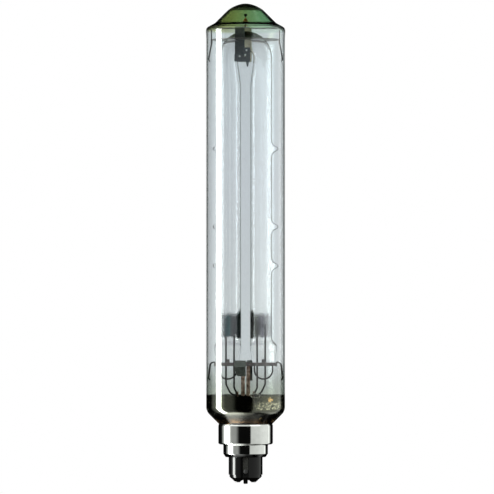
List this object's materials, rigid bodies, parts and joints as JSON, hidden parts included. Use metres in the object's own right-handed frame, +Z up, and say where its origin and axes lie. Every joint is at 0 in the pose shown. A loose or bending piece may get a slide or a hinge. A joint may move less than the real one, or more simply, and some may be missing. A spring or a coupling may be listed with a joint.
{
  "type": "low-pressure sodium lamp",
  "caption": "Tubular glass discharge lamp with a U-shaped inner tube on a wire and sheet mount, domed top, and a stepped bayonet cap with pins and button contacts.",
  "frame": {"origin": "on the lamp's axis at the foot of the cap, level with the wall between the contacts", "axes": "+Z up the lamp's axis from the cap to the dome, X across the two legs of the inner tube, bayonet pins along Y"},
  "size_m": [0.0513, 0.0514, 0.31],
  "materials": {
    "bulb_glass": "clear blown glass, faintly grey-blue",
    "stem_glass": "clear pressed glass",
    "tube_glass": "clear drawn glass",
    "sodium_film": "dark metal film, soft edged",
    "getter_mirror": "dark brown-black metal mirror",
    "tungsten": "coated tungsten coil",
    "lead_wire": "nickel wire, dulled",
    "copper_wire": "copper-clad wire",
    "copper_post": "copper-clad strip",
    "mount_steel": "nickel-plated sheet, dulled by heat",
    "spring_steel": "spring strip",
    "strap_steel": "dark sheet strip",
    "getter_ring": "pressed ring, flashed",
    "cap_metal": "bright drawn metal",
    "cap_moulding": "glossy black moulding",
    "pin_metal": "dark plated pin",
    "contact_metal": "soldered button",
    "cement": "baked capping cement"
  },
  "bodies": {
    "root": {"back_bayonet_pin": "pin_metal", "bend_clip": "strap_steel", "bend_strap": "strap_steel", "cap_insulator": "cap_moulding", "cap_shell": "cap_metal", "capping_cement": "cement", "discharge_tube": "tube_glass", "front_bayonet_pin": "pin_metal", "getter_mirror": "getter_mirror", "getter_ring": "getter_ring", "left_cathode": "tungsten", "left_contact": "contact_metal", "left_inner_lead": "lead_wire", "left_lead_in": "copper_wire", "left_lower_spring": "spring_steel", "left_outer_lead": "lead_wire", "left_post": "copper_post", "left_press_loop": "lead_wire", "left_sodium_film": "sodium_film", "left_upper_spring": "spring_steel", "locating_pin": "strap_steel", "mount_bracket": "mount_steel", "mount_plate": "mount_steel", "outer_bulb": "bulb_glass", "right_cathode": "tungsten", "right_contact": "contact_metal", "right_inner_lead": "lead_wire", "right_lead_in": "copper_wire", "right_lower_spring": "spring_steel", "right_outer_lead": "lead_wire", "right_post": "copper_post", "right_press_loop": "lead_wire", "right_sodium_film": "sodium_film", "right_upper_spring": "spring_steel", "stem": "stem_glass", "upper_disc": "mount_steel"}
  },
  "joints": []
}
